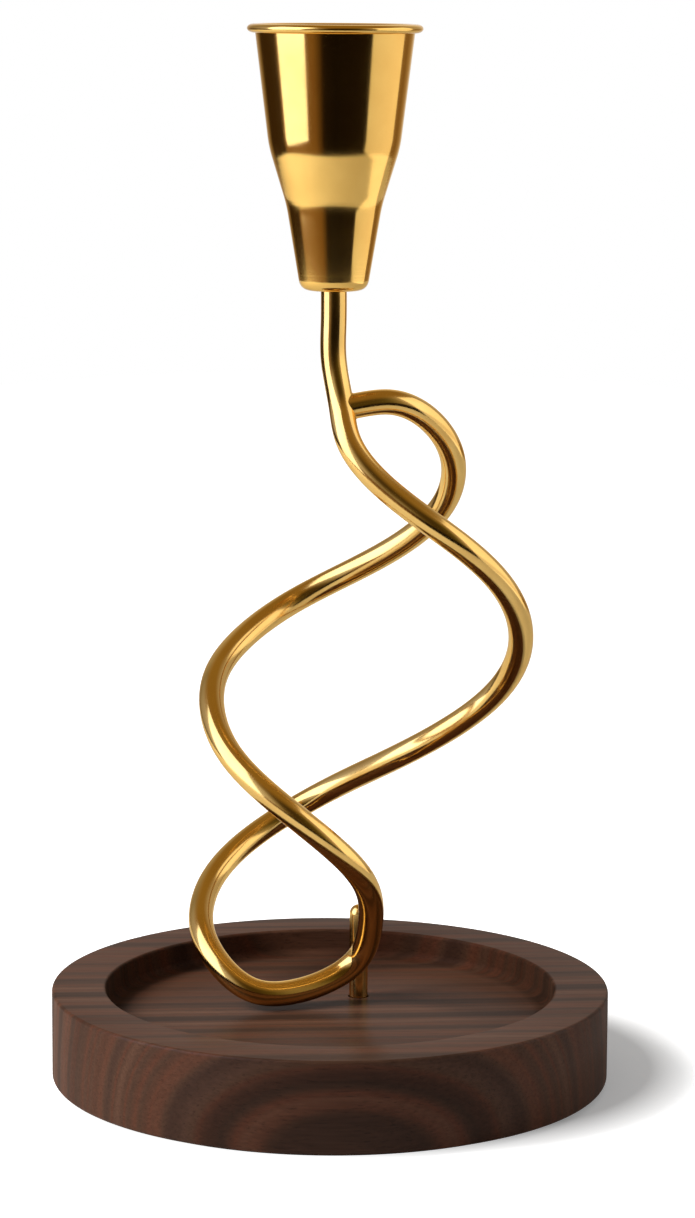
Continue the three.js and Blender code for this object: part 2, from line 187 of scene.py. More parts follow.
@dataclass(frozen=True)
class LacqueredWalnut(Finish):
    """Walnut turned across the plank and sealed with satin lacquer.

    The eye sees growth rings cut by the lathe, as lines along the top and as arches on the front, long
    fibres and short dark pores along the plank, and a soft reflection in the lacquer.
    """

    dark: str = "#432d23"
    heart: str = "#4b3328"
    brown: str = "#553a2c"
    pale: str = "#674636"
    red: str = "#613a2a"
    # The pith runs past the front of the base, at a slant in radians.
    pith: Point = (0.0, -88.4, 1.6)
    slant: float = -0.085
    ring_width: float = 6.0
    line_width: float = 2.4
    # How far the rings wander, in waves of this length and width.
    wander: float = 3.0
    wave_length: float = 125.0
    wave_width: float = 50.0
    # Pores are about 0.15 mm wide in real walnut, and drawn wider so that they show.
    fibre_length: float = 26.0
    fibre_width: float = 0.7
    pore_length: float = 6.0
    pore_width: float = 0.42
    # Broad dark and light zones of the plank, by distance from the pith.
    plank_reach: float = 160.0
    zones: tuple[tuple[float, str], ...] = (
        (18.0, "#e4e0de"), (20.8, "#dcd8d4"), (22.2, "#b8b2b0"), (23.4, "#ece2df"), (24.4, "#ffffff"),
        (25.3, "#e0d8d6"), (26.6, "#acaaab"), (28.4, "#a6a5a6"), (29.7, "#dcdad9"), (30.7, "#ffffff"),
        (52.0, "#ffffff"), (60.0, "#f0ecea"), (65.5, "#d4cfcd"), (68.5, "#fbf8f6"), (82.0, "#fbf8f6"),
        (86.5, "#dcd7d5"), (89.5, "#fbf8f6"), (112.5, "#fbf8f6"), (115.0, "#d4cfcd"), (117.5, "#fbf8f6"),
        (133.0, "#f8f4f2"), (139.0, "#ece8e7"), (144.0, "#e0dcdb"), (151.0, "#fbf8f6"),
    )
    # The lacquer lies thin in the cove of the dish: its share as a grey, by distance from the axis.
    cove_reach: float = 80.0
    cove: tuple[tuple[float, str], ...] = (
        (51.5, "#ffffff"), (54.0, "#565656"), (56.5, "#565656"), (57.2, "#ffffff"),
    )
    # Radius of the dish's wall, whose left and right ends are darkened by painted shade, by about this
    # share.
    wall_radius: float = 56.0
    painted_wall_shade: float = 0.5
    lacquer: float = 0.17
    lacquer_rough: float = 0.3
    # Pale warm bloom of the fibres, which shows most at a low angle.
    bloom: float = 0.1
    bloom_tint: str = "#ffd6b4"

    def grain(
        self, tree: NodeTree, place: NodeSocket, length: float, width: float, detail: float
    ) -> NodeSocket:
        """Adds noise that is drawn out along the plank.

        Args:
            tree: The material's node tree.
            place: The place on the piece in millimetres.
            length: Usual length of a mark.
            width: Its usual width.
            detail: Number of finer layers in the noise.

        Returns:
            Output of the noise.
        """
        drawn_out = add_node(
            tree,
            "ShaderNodeVectorMath",
            {0: place, 1: (1 / length, 1 / width, 1 / width)},
            operation="MULTIPLY",
        )
        noise = add_node(
            tree, "ShaderNodeTexNoise", {"Vector": drawn_out.outputs[0], "Scale": 1.0, "Detail": detail}
        )
        return noise.outputs["Fac"]

    def from_pith(self, tree: NodeTree, place: NodeSocket) -> NodeSocket:
        """Gives the distance from the pith, round which the rings are long tubes that wander slowly.

        Args:
            tree: The material's node tree.
            place: The place on the piece in millimetres.

        Returns:
            Output of the distance in millimetres.
        """
        drift = self.grain(tree, place, self.wave_length, self.wave_width, detail=2.0)
        turned = add_node(
            tree, "ShaderNodeVectorRotate", {"Vector": place, "Angle": self.slant}, rotation_type="Z_AXIS"
        )
        away = add_node(
            tree, "ShaderNodeVectorMath", {0: turned.outputs[0], 1: self.pith}, operation="SUBTRACT"
        )
        across = add_node(
            tree, "ShaderNodeVectorMath", {0: away.outputs[0], 1: (0, 1, 1)}, operation="MULTIPLY"
        )
        radius = add_node(tree, "ShaderNodeVectorMath", {0: across.outputs[0]}, operation="LENGTH")
        depth = add_node(
            tree,
            "ShaderNodeMath",
            {0: drift, 1: self.wander, 2: radius.outputs["Value"]},
            operation="MULTIPLY_ADD",
        )
        return depth.outputs[0]

    def dish_wall(self, tree: NodeTree, place: NodeSocket) -> tuple[Node, Node]:
        """Finds the dish's wall, where the lacquer lies thin and painted shade darkens its left and right
        ends.

        Args:
            tree: The material's node tree.
            place: The place on the piece in millimetres.

        Returns:
            Nodes for the lacquer's share and for the painted shade on the wall's left and right ends.
        """
        flat = add_node(tree, "ShaderNodeVectorMath", {0: place, 1: (1, 1, 0)}, operation="MULTIPLY")
        out = add_node(tree, "ShaderNodeVectorMath", {0: flat.outputs[0]}, operation="LENGTH")
        reach = add_node(
            tree, "ShaderNodeMapRange", {"Value": out.outputs["Value"], "From Max": self.cove_reach}
        )
        thin = add_node(
            tree,
            "ShaderNodeValToRGB",
            {"Fac": reach.outputs[0]},
            stops=[(radius / self.cove_reach, grey) for radius, grey in self.cove],
        )
        # Painted shade on the wall only, growing with the square of the distance to the left or right.
        side = add_node(tree, "ShaderNodeSeparateXYZ", {0: flat.outputs[0]})
        sideways_share = add_node(
            tree, "ShaderNodeMath", {0: side.outputs["X"], 1: side.outputs["X"]}, operation="MULTIPLY"
        )
        wall = add_node(tree, "ShaderNodeMath", {0: 1.0, 1: thin.outputs["Color"]}, operation="SUBTRACT")
        shade_on_wall = add_node(
            tree, "ShaderNodeMath", {0: sideways_share.outputs[0], 1: wall.outputs[0]}, operation="MULTIPLY"
        )
        painted_shade = add_node(
            tree,
            "ShaderNodeMath",
            {0: shade_on_wall.outputs[0], 1: -self.painted_wall_shade / self.wall_radius ** 2, 2: 1.0},
            operation="MULTIPLY_ADD",
        )
        return thin, painted_shade

    def dress(self, tree: NodeTree) -> Node:
        """Adds rings, fibres and pores under the lacquer.

        Args:
            tree: The material's node tree.

        Returns:
            The shader node.
        """
        place = self.millimetres(tree)
        depth = self.from_pith(tree, place)
        rings, lines = (
            add_node(
                tree,
                "ShaderNodeTexNoise",
                {"W": depth, "Scale": 1 / width, "Detail": detail, "Roughness": 0.4},
                noise_dimensions="1D",
            )
            for width, detail in ((self.ring_width, 1.0), (self.line_width, 0.0))
        )
        tone = add_node(
            tree,
            "ShaderNodeValToRGB",
            {"Fac": rings.outputs["Fac"]},
            stops=(
                (0.28, self.dark), (0.8, self.pale), (0.38, self.heart), (0.46, self.brown),
                (0.54, self.red), (0.62, self.brown),
            ),
        )
        plank = add_node(tree, "ShaderNodeMapRange", {"Value": depth, "From Max": self.plank_reach})
        zone = add_node(
            tree,
            "ShaderNodeValToRGB",
            {"Fac": plank.outputs[0]},
            stops=[(radius / self.plank_reach, tint) for radius, tint in self.zones],
        )
        tone = add_node(
            tree,
            "ShaderNodeVectorMath",
            {0: tone.outputs["Color"], 1: zone.outputs["Color"]},
            operation="MULTIPLY",
        )
        fibres = self.grain(tree, place, self.fibre_length, self.fibre_width, detail=3.0)
        pores = self.grain(tree, place, self.pore_length, self.pore_width, detail=1.0)
        # Each row is a noise, the span of it that counts, and what it gives at the two ends of that span.
        fine, streak, open_pores, roughness = (
            add_node(
                tree,
                "ShaderNodeMapRange",
                {"Value": noise, "From Min": low, "From Max": high, "To Min": first, "To Max": last},
            )
            for noise, low, high, first, last in (
                (lines.outputs["Fac"], 0.3, 0.6, 0.9, 1.02),
                (fibres, 0.3, 0.7, 0.84, 1.14),
                (pores, 0.6, 0.72, 1.0, 0.72),
                (fibres, 0.3, 0.7, 0.52, 0.38),
            )
        )
        thin, painted_shade = self.dish_wall(tree, place)
        # The dish wall's painted shade is multiplied into the colour together with the lines, streaks and
        # pores.
        shade = fine
        for part in (streak, open_pores, painted_shade):
            shade = add_node(
                tree, "ShaderNodeMath", {0: shade.outputs[0], 1: part.outputs[0]}, operation="MULTIPLY"
            )
        colour = add_node(
            tree, "ShaderNodeVectorMath", {0: tone.outputs[0], "Scale": shade.outputs[0]}, operation="SCALE"
        )
        lacquer = add_node(
            tree, "ShaderNodeMath", {0: thin.outputs["Color"], 1: self.lacquer}, operation="MULTIPLY"
        )
        relief = add_node(
            tree, "ShaderNodeMath", {0: open_pores.outputs[0], 1: streak.outputs[0]}, operation="ADD"
        )
        bump = add_node(
            tree, "ShaderNodeBump", {"Height": relief.outputs[0], "Strength": 0.25, "Distance": 0.1 * MM}
        )
        return add_node(
            tree,
            "ShaderNodeBsdfPrincipled",
            {
                "Base Color": colour.outputs[0],
                "Roughness": roughness.outputs[0],
                "Normal": bump.outputs[0],
                "Specular IOR Level": 0.0,
                "Sheen Weight": self.bloom,
                "Sheen Tint": linear(self.bloom_tint),
                "Coat Weight": lacquer.outputs[0],
                "Coat Roughness": self.lacquer_rough,
            },
        )


@dataclass(frozen=True)
class PolishedBrass(Finish):
    """Yellow brass polished on a soft wheel and lacquered.

    The eye sees a warm mirror, a little cloudy from polishing, with faint lines from the spinning tool on
    the cup and a duller skin on the brazed seams.
    """

    making: Making = Making.DRAWN
    bright: str = "#efc572"
    deep: str = "#e6b864"
    edge: str = "#f4e0b8"
    gloss: float = 0.13
    dull: float = 0.18
    cloud_size: float = 12.0
    # Tool lines are about 0.1 mm apart on the real cup, and drawn wider so that they show.
    line_pitch: float = 0.9
    line_strength: float = 0.015
    # Shallow dents of drawing and bending, which are stronger in the braze.
    dent_size: float = 7.0
    dent_strength: float = 0.04
    braze_strength: float = 0.12

    def dress(self, tree: NodeTree) -> Node:
        """Adds the polish and the marks of the making.

        Args:
            tree: The material's node tree.

        Returns:
            The shader node.
        """
        place = self.millimetres(tree)
        cloud = add_node(
            tree, "ShaderNodeTexNoise", {"Vector": place, "Scale": 1 / self.cloud_size, "Detail": 4.0}
        )
        colour = add_node(
            tree,
            "ShaderNodeValToRGB",
            {"Fac": cloud.outputs["Fac"]},
            stops=((0.3, self.deep), (0.7, self.bright)),
        )
        roughness = add_node(
            tree,
            "ShaderNodeMapRange",
            {
                "Value": cloud.outputs["Fac"], "From Min": 0.3, "From Max": 0.7,
                "To Min": self.dull, "To Max": self.gloss,
            },
        )
        if self.making is Making.SPUN:
            height = add_node(tree, "ShaderNodeSeparateXYZ", {0: place}).outputs["Z"]
            marks = add_node(
                tree,
                "ShaderNodeTexNoise",
                {"W": height, "Scale": 1 / self.line_pitch, "Detail": 2.0},
                noise_dimensions="1D",
            )
            strength = self.line_strength
        else:
            marks = add_node(
                tree, "ShaderNodeTexNoise", {"Vector": place, "Scale": 1 / self.dent_size, "Detail": 1.0}
            )
            strength = self.braze_strength if self.making is Making.BRAZED else self.dent_strength
        bump = add_node(
            tree,
            "ShaderNodeBump",
            {"Height": marks.outputs["Fac"], "Strength": strength, "Distance": 0.2 * MM},
        )
        return add_node(
            tree,
            "ShaderNodeBsdfPrincipled",
            {
                "Base Color": colour.outputs[0],
                "Metallic": 1.0,
                "Roughness": roughness.outputs[0],
                "Normal": bump.outputs[0],
                "Specular Tint": linear(self.edge),
                "Coat Weight": 0.35,
                "Coat Roughness": 0.12,
            },
        )


@dataclass(frozen=True)
class ZincSteel(Finish):
    """Steel with bright zinc plating, whose small crystals give the eye a grey satin."""

    pale: str = "#b7b6b0"
    grey: str = "#96958f"
    crystal: float = 0.8

    def dress(self, tree: NodeTree) -> Node:
        """Adds the plating's crystals.

        Args:
            tree: The material's node tree.

        Returns:
            The shader node.
        """
        grain = add_node(
            tree, "ShaderNodeTexVoronoi", {"Vector": self.millimetres(tree), "Scale": 1 / self.crystal}
        )
        colour = add_node(
            tree,
            "ShaderNodeValToRGB",
            {"Fac": grain.outputs["Color"]},
            stops=((0.1, self.grey), (0.9, self.pale)),
        )
        roughness = add_node(
            tree,
            "ShaderNodeMapRange",
            {"Value": grain.outputs["Color"], "To Min": 0.3, "To Max": 0.42},
        )
        return add_node(
            tree,
            "ShaderNodeBsdfPrincipled",
            {"Base Color": colour.outputs[0], "Metallic": 1.0, "Roughness": roughness.outputs[0]},
        )


@dataclass(frozen=True)
class PressedFelt(Finish):
    """Wool felt pressed flat, dark and matt, with a tangle of short fibres at its edge."""

    dark: str = "#1c1714"
    pale: str = "#332b26"
    fibre: float = 0.5

    def dress(self, tree: NodeTree) -> Node:
        """Adds the tangled fibres.

        Args:
            tree: The material's node tree.

        Returns:
            The shader node.
        """
        tangle = add_node(
            tree,
            "ShaderNodeTexNoise",
            {"Vector": self.millimetres(tree), "Scale": 1 / self.fibre, "Detail": 4.0, "Distortion": 1.5},
        )
        colour = add_node(
            tree,
            "ShaderNodeValToRGB",
            {"Fac": tangle.outputs["Fac"]},
            stops=((0.3, self.dark), (0.7, self.pale)),
        )
        bump = add_node(
            tree, "ShaderNodeBump", {"Height": tangle.outputs["Fac"], "Strength": 0.6, "Distance": 0.2 * MM}
        )
        return add_node(
            tree,
            "ShaderNodeBsdfPrincipled",
            {
                "Base Color": colour.outputs[0], "Roughness": 0.95,
                "Normal": bump.outputs[0], "Sheen Weight": 0.2,
            },
        )


@dataclass(frozen=True)
class PaperSweep(Finish):
    """White background paper, matt, which takes the soft shadow and shows white to the camera."""

    white: str = "#f4f3f1"
    shade: str = "#eeedeb"
    mottle_size: float = 30.0
    # Middle of the shadow, from which the distances below count.
    patch: tuple[float, float] = (18.0, 14.0)
    # Light that mirrors see in the paper, and the distances between which it grows.
    glow: float = 0.1
    edge_glow: float = 0.36
    edge: tuple[float, float] = (250.0, 900.0)
    # Light that the camera sees in the paper, in the shadow and beyond it, where 1 is white.
    near_glow: float = 0.22
    far_glow: float = 1.0
    near: float = 64.0
    far: float = 82.0

    def dress(self, tree: NodeTree) -> Node:
        """Adds matt paper with light of its own for mirror and camera rays, more of it further out.

        Args:
            tree: The material's node tree.

        Returns:
            The shader node.
        """
        mottle = add_node(
            tree, "ShaderNodeTexNoise", {"Vector": self.millimetres(tree), "Scale": 1 / self.mottle_size}
        )
        colour = add_node(
            tree,
            "ShaderNodeValToRGB",
            {"Fac": mottle.outputs["Fac"]},
            stops=((0.3, self.shade), (0.7, self.white)),
        )
        paper = add_node(tree, "ShaderNodeBsdfDiffuse", {"Color": colour.outputs[0]})
        light = add_node(tree, "ShaderNodeLightPath")
        mirrored = add_node(
            tree,
            "ShaderNodeMath",
            {0: light.outputs["Is Glossy Ray"], 1: light.outputs["Is Transmission Ray"]},
            operation="MAXIMUM",
        )
        away = add_node(
            tree,
            "ShaderNodeVectorMath",
            {0: self.millimetres(tree), 1: (*self.patch, 0.0)},
            operation="DISTANCE",
        )
        lit = add_node(
            tree,
            "ShaderNodeMapRange",
            {
                "Value": away.outputs["Value"], "From Min": self.edge[0], "From Max": self.edge[1],
                "To Min": self.glow, "To Max": self.edge_glow,
            },
        )
        reflected = add_node(
            tree, "ShaderNodeMath", {0: mirrored.outputs[0], 1: lit.outputs[0]}, operation="MULTIPLY"
        )
        level = add_node(
            tree,
            "ShaderNodeMapRange",
            {
                "Value": away.outputs["Value"], "From Min": self.near, "From Max": self.far,
                "To Min": self.near_glow, "To Max": self.far_glow,
            },
        )
        strength = add_node(
            tree,
            "ShaderNodeMath",
            {0: light.outputs["Is Camera Ray"], 1: level.outputs[0], 2: reflected.outputs[0]},
            operation="MULTIPLY_ADD",
        )
        glow = add_node(tree, "ShaderNodeEmission", {"Strength": strength.outputs[0]})
        return add_node(tree, "ShaderNodeAddShader", {0: paper.outputs[0], 1: glow.outputs[0]})


def skin(name: str, loops: Sequence[np.ndarray], cyclic: bool = False, crease: float = CREASE) -> Mesh:
    """Makes a smooth mesh through closed loops of points.

    Args:
        name: Name of the mesh.
        loops: Arrays of points in millimetres, of one length each; a single point closes an end.
        cyclic: Joins the last loop to the first.
        crease: Angle in degrees above which an edge stays sharp.

    Returns:
        The mesh, in metres.
    """
    build = bmesh.new()
    rows = [[build.verts.new(Vector(point) * MM) for point in loop] for loop in loops]
    following = rows[1:] + (rows[:1] if cyclic else [])
    for near, far in zip(rows, following):
        for k in range(max(len(near), len(far))):
            corners = [row[i % len(row)] for row, i in ((near, k), (near, k + 1), (far, k + 1), (far, k))]
            build.faces.new(list(dict.fromkeys(corners)))
    bmesh.ops.recalc_face_normals(build, faces=build.faces)
    mesh = bpy.data.meshes.new(name)
    build.to_mesh(mesh)
    build.free()
    mesh.shade_smooth()
    mesh.set_sharp_from_angle(angle=math.radians(crease))
    return mesh


def link_object(name: str, data: ID) -> Object:
    """Links a new object to the scene.

    Args:
        name: Name of the object.
        data: Its mesh, lamp or camera.

    Returns:
        The new object.
    """
    made = bpy.data.objects.new(name, data)
    bpy.context.scene.collection.objects.link(made)
    return made


def put(name: str, mesh: Mesh, material: Material, slot: Slot, stands_for: Sequence[str]) -> Object:
    """Puts a finished piece on the object in place of its CAD solids.

    Args:
        name: Name of the piece.
        mesh: The piece's mesh, in the CAD model's frame.
        material: Its finish.
        slot: The record's slot of that finish.
        stands_for: Names of the CAD nodes that it replaces.

    Returns:
        The new piece.
    """
    piece = link_object(name, mesh)
    mesh.materials.append(material)
    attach(piece, "root")
    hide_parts(*stands_for)
    LOG.info("%s: %d faces, %s", name, len(mesh.polygons), slot.value)
    return piece


def middle_of(box: tuple[Vector, Vector]) -> np.ndarray:
    """Gives the middle of a box of the frame, in millimetres."""
    return np.add(*box) / 2 / MM


def bow(start: np.ndarray, pull: np.ndarray, end: np.ndarray, steps: int) -> list[np.ndarray]:
    """Lays points along a curve that bends towards a point on its way.

    Args:
        start: First point.
        pull: Point towards which the curve bends.
        end: Last point.
        steps: Number of stretches.

    Returns:
        Points along the curve.
    """
    shares = np.linspace(0, 1, steps + 1)
    return [(1 - t) ** 2 * start + 2 * t * (1 - t) * pull + t * t * end for t in shares]


def ring(radius: float, height: float, sides: int, x: float = 0.0, y: float = 0.0) -> np.ndarray:
    """Makes a level circle of points, or one point where the radius is nothing.

    Args:
        radius: Radius of the circle.
        height: Its height.
        sides: Number of points.
        x: Place of its middle along X.
        y: Place of its middle along Y.

    Returns:
        Array of points.
    """
    if radius == 0:
        return np.array([[x, y, height]])
    turn = np.arange(sides) * 2 * math.pi / sides
    return np.stack([x + radius * np.cos(turn), y + radius * np.sin(turn), np.full(sides, height)], axis=1)


@dataclass
class Outline:
    """Half section of a turned piece, as radius and height."""

    points: list[tuple[float, float]] = field(default_factory=list)

    def to(self, radius: float, height: float) -> "Outline":
        """Goes straight to a point."""
        self.points.append((radius, height))
        return self

    def arc(
        self, radius: float, height: float, size: float, start: float, end: float, steps: int = 8
    ) -> "Outline":
        """Goes round an arc.

        Args:
            radius: Radius at the arc's centre.
            height: Height of the arc's centre.
            size: The arc's own radius.
            start: First angle in degrees, from outwards towards up.
            end: Last angle in degrees.
            steps: Number of facets.

        Returns:
            The outline itself.
        """
        for turn in np.radians(np.linspace(start, end, steps + 1)):
            self.to(radius + size * math.cos(turn), height + size * math.sin(turn))
        return self

    def bend(
        self,
        before: tuple[float, float],
        corner: tuple[float, float],
        after: tuple[float, float],
        size: float,
        steps: int = 10,
    ) -> "Outline":
        """Goes round a rounded corner.

        Args:
            before: Point from which the outline comes.
            corner: The sharp corner.
            after: Point to which it goes.
            size: How far from the corner the bend starts.
            steps: Number of facets.

        Returns:
            The outline itself.
        """
        a, b, c = (np.array(point) for point in (before, corner, after))
        start = b + (a - b) * size / np.linalg.norm(a - b)
        stop = b + (c - b) * size / np.linalg.norm(c - b)
        for point in bow(start, b, stop, steps):
            self.to(*point)
        return self

    def loops(self, sides: int, shift: Point = (0.0, 0.0, 0.0)) -> list[np.ndarray]:
        """Turns the outline about an upright axis.

        Args:
            sides: Number of points in each circle.
            shift: Place of the outline's zero point.

        Returns:
            One circle of points for each point of the outline.
        """
        return [ring(radius, height, sides) + np.array(shift) for radius, height in self.points]


@dataclass
class WalnutBase:
    """Turned walnut disc with a shallow dish, on its felt."""

    diameter: float = 140.0
    rim_width: float = 13.6
    floor_thickness: float = 15.9
    dish_depth: float = 7.1
    foot_rounding: float = 1.2
    rim_rounding: float = 0.8
    dish_fillet: float = 2.4
    felt_thickness: float = 1.2
    felt_inset: float = 4.0
    felt_rounding: float = 0.3
    socket_radius: float = 2.68
    socket_depth: float = 3.0
    hole_radius: float = 1.65
    pocket_radius: float = 6.5
    pocket_depth: float = 4.25
    sides: int = 256
    face_rows: int = 5

    @property
    def floor(self) -> float:
        """Height of the dish floor over the table."""
        return self.felt_thickness + self.floor_thickness

    def between(self, first: Circle, last: Circle, height: float) -> list[np.ndarray]:
        """Makes the circles that lead over a level face from one circle to another.

        Args:
            first: Radius, X and Y of the circle already there.
            last: Radius, X and Y of the circle to come.
            height: Height of the face.

        Returns:
            Circles of points between the two.
        """
        start, change = np.array(first), np.array(last) - np.array(first)
        shares = np.linspace(0, 1, self.face_rows + 2)[1:-1]
        steps = [start + change * share for share in shares]
        return [ring(radius, height, self.sides, x, y) for radius, x, y in steps]

    def build(self, wood: Material, felt: Material) -> None:
        """Builds the disc, with the post's socket and screw pocket, and its felt.

        Args:
            wood: Finish of the disc.
            felt: Finish of the felt.
        """
        x, y, _ = middle_of(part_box("post"))
        radius, foot = self.diameter / 2, self.felt_thickness
        top = self.floor + self.dish_depth
        dish = radius - self.rim_width
        edge = self.rim_rounding
        outline = Outline()
        outline.arc(radius - self.foot_rounding, foot + self.foot_rounding, self.foot_rounding, -90, 0)
        outline.arc(radius - edge, top - edge, edge, 0, 90)
        outline.arc(dish + edge, top - edge, edge, 90, 180)
        outline.arc(dish - self.dish_fillet, self.floor + self.dish_fillet, self.dish_fillet, 0, -90)
        loops = outline.loops(self.sides)
        loops += self.between((dish - self.dish_fillet, 0, 0), (self.socket_radius, x, y), self.floor)
        for size, height in (
            (self.socket_radius, self.floor),
            (self.socket_radius, self.floor - self.socket_depth),
            (self.hole_radius, self.floor - self.socket_depth),
            (self.hole_radius, foot + self.pocket_depth),
            (self.pocket_radius, foot + self.pocket_depth),
            (self.pocket_radius, foot),
        ):
            loops.append(ring(size, height, self.sides, x, y))
        loops += self.between((self.pocket_radius, x, y), (radius - self.foot_rounding, 0, 0), foot)
        put("walnut_disc", skin("walnut_disc", loops, cyclic=True), wood, Slot.WALNUT, ["base"])
        size, soft = radius - self.felt_inset, self.felt_rounding
        sheet = Outline().to(0, 0)
        sheet.arc(size - soft, soft, soft, -90, 0, 4).to(size, foot).to(0, foot)
        put("felt_disc", skin("felt_disc", sheet.loops(self.sides)), felt, Slot.FELT, ["felt_pad"])


class SpringLine:
    """Smooth curve through given points whose bending changes steadily, as in a springy rod."""

    def __init__(self, points: np.ndarray) -> None:
        """Finds the bending at the points, which is nothing at both ends.

        Args:
            points: Array of points.
        """
        self.points = points
        self.spans = np.linalg.norm(np.diff(points, axis=0), axis=1)
        self.knots = np.concatenate([[0.0], np.cumsum(self.spans)])
        count = len(points)
        system, goal = np.eye(count), np.zeros((count, 3))
        for i in range(1, count - 1):
            before, after = self.spans[i - 1], self.spans[i]
            system[i, i - 1:i + 2] = before, 2 * (before + after), after
            goal[i] = 6 * ((points[i + 1] - points[i]) / after - (points[i] - points[i - 1]) / before)
        self.bends = np.linalg.solve(system, goal)

    def at(self, along: float) -> np.ndarray:
        """Gives the point at a distance along the knots.

        Args:
            along: Distance from the first point.

        Returns:
            The point.
        """
        i = int(np.clip(np.searchsorted(self.knots, along) - 1, 0, len(self.spans) - 1))
        span = self.spans[i]
        b = (along - self.knots[i]) / span
        a = 1 - b
        sag = (a ** 3 - a) * self.bends[i] + (b ** 3 - b) * self.bends[i + 1]
        return a * self.points[i] + b * self.points[i + 1] + sag * span * span / 6


@dataclass
class SwirlRod:
    """Brass rod bent in a double loop over the dish's floor, its end brazed to its own stem."""

    floor: float
    diameter: float = 6.35
    height: float = 162.0
    width: float = 80.0
    depth: float = 73.2
    stem_length: float = 16.2
    end_gap: float = 0.8
    clearance: float = 0.8
    # The curve starts this far above the cup's seat, and is cut there.
    overrun: float = 1.0
    end_side: Point = (0.9750, 0.2220, 0.0)
    joint_share: Point = (0.025, -0.028, 0.926)
    # Length from the top in which the rod counts as the stem that its end meets.
    stem_reach: float = 45.0
    # Shares of the radius at which the end's coped face has a row of points.
    end_rows: tuple[float, float] = (0.66, 0.33)
    fillet_under: float = 2.2
    fillet_over: float = 0.7
    # Least share of the fillet, which is left at the two sides of the end.
    fillet_least: float = 0.06
    # How far the seam's hidden edge lies inside the end and inside the stem.
    root_in_end: float = 0.5
    root_in_stem: float = 0.4
    # Distance above and below the joint at which the stem's direction is taken.
    probe: float = 2.0
    sides: int = 48
    step: float = 0.8
    # Right, back and up, as shares of the swirl's width, depth and height.
    landmarks: tuple[Point, ...] = (
        # down the front strand and round the right bulge
        (0.045, -0.092, 0.88), (0.19, -0.168, 0.797), (0.383, -0.19, 0.727), (0.521, -0.084, 0.657),
        (0.589, 0.149, 0.536), (0.501, 0.32, 0.445), (0.216, 0.471, 0.339), (-0.045, 0.688, 0.253),
        # lower loop
        (-0.288, 0.598, 0.181), (-0.415, 0.284, 0.108), (-0.389, 0.117, 0.066), (-0.24, 0.018, 0.006),
        (-0.131, 0.046, 0.0), (0.082, 0.123, 0.043), (0.126, 0.014, 0.115), (0.05, -0.274, 0.246),
        # left bulge and the upper loop
        (-0.085, -0.312, 0.308), (-0.314, -0.174, 0.402), (-0.374, 0.076, 0.48), (-0.317, 0.286, 0.526),
        (-0.12, 0.505, 0.588), (0.21, 0.451, 0.681), (0.362, 0.308, 0.768), (0.333, 0.11, 0.88),
        (0.177, 0.012, 0.93),
    )

    @property
    def radius(self) -> float:
        """Radius of the rod."""
        return self.diameter / 2

    @property
    def seat(self) -> float:
        """Height of the rod's top, on which the cup stands."""
        return self.floor + self.clearance + self.radius + self.height + self.stem_length

    def spot(self, share: Point) -> np.ndarray:
        """Gives a place on the centre line from its shares.

        Args:
            share: Right, back and up, as shares of the swirl's width, depth and height.

        Returns:
            The place in millimetres.
        """
        lowest = self.floor + self.clearance + self.radius
        return np.array([share[0] * self.width, share[1] * self.depth, lowest + share[2] * self.height])

    def centre_line(self) -> np.ndarray:
        """Lays the rod's centre line.

        Returns:
            Points along it, from the cup's seat to the brazed end.
        """
        foot, joint = self.spot((0, 0, 1)), self.spot(self.joint_share)
        end = joint + np.array(self.end_side) * (self.radius + self.end_gap)
        top = np.array([0.0, 0.0, self.seat + self.overrun])
        stem = [top, (foot + np.array([0, 0, self.seat])) / 2, foot, joint]
        line = SpringLine(np.array(stem + [self.spot(share) for share in self.landmarks] + [end]))
        length = line.knots[-1]
        points = np.array([line.at(s) for s in np.linspace(0, length, int(length / self.step) + 1)])
        points = points[points[:, 2] < self.seat]
        return np.concatenate([[[0.0, 0.0, self.seat]], points]) if points[0, 2] < self.seat else points

    def circles(self, line: np.ndarray) -> list[np.ndarray]:
        """Sets a circle square to the centre line at each of its points, without twist.

        Args:
            line: Points along the centre line.

        Returns:
            Circles of points.
        """
        ways = np.gradient(line, axis=0)
        ways /= np.linalg.norm(ways, axis=1)[:, None]
        ways[0] = (0, 0, -1)
        side = np.array([1.0, 0.0, 0.0])
        turn = np.arange(self.sides) * 2 * math.pi / self.sides
        made = []
        for point, way in zip(line, ways):
            side = side - way * side.dot(way)
            side /= np.linalg.norm(side)
            other = np.cross(way, side)
            out = np.outer(np.cos(turn), side) + np.outer(np.sin(turn), other)
            made.append(point + self.radius * out)
        return made

    def build(self, brass: Material, braze: Material) -> BVHTree:
        """Builds the rod with its coped end, and the braze round that end.

        Args:
            brass: Finish of the rod.
            braze: Finish of the seam.

        Returns:
            The rod's surface, in millimetres, for pieces that sit on it.
        """
        line = self.centre_line()
        circles = self.circles(line)
        count = self.sides
        faces = [
            (row + k, row + (k + 1) % count, row + count + (k + 1) % count, row + count + k)
            for row in range(0, (len(circles) - 1) * count, count)
            for k in range(count)
        ]
        surface = BVHTree.FromPolygons([Vector(p) for p in np.concatenate(circles)], faces)
        stem_rows = int(self.stem_reach / self.step)
        stem_points = [Vector(p) for p in np.concatenate(circles[:stem_rows])]
        stem = BVHTree.FromPolygons(stem_points, faces[:(stem_rows - 1) * count])
        middle, way = line[-1], line[-1] - line[-2]
        way /= np.linalg.norm(way)
        landing = self.land(stem, circles[-1], middle, way, 1.0)
        inner = [self.land(stem, circles[-1], middle, way, share) for share in self.end_rows]
        closing = self.land(stem, circles[-1][:1], middle, way, 0.0)
        rod = [line[:1]] + circles + [landing] + inner + [closing]
        put("bent_rod", skin("bent_rod", rod), brass, Slot.BRASS, ["swirl_rod"])
        self.build_seam(stem, landing, circles[-1] - middle, way, braze)
        return surface

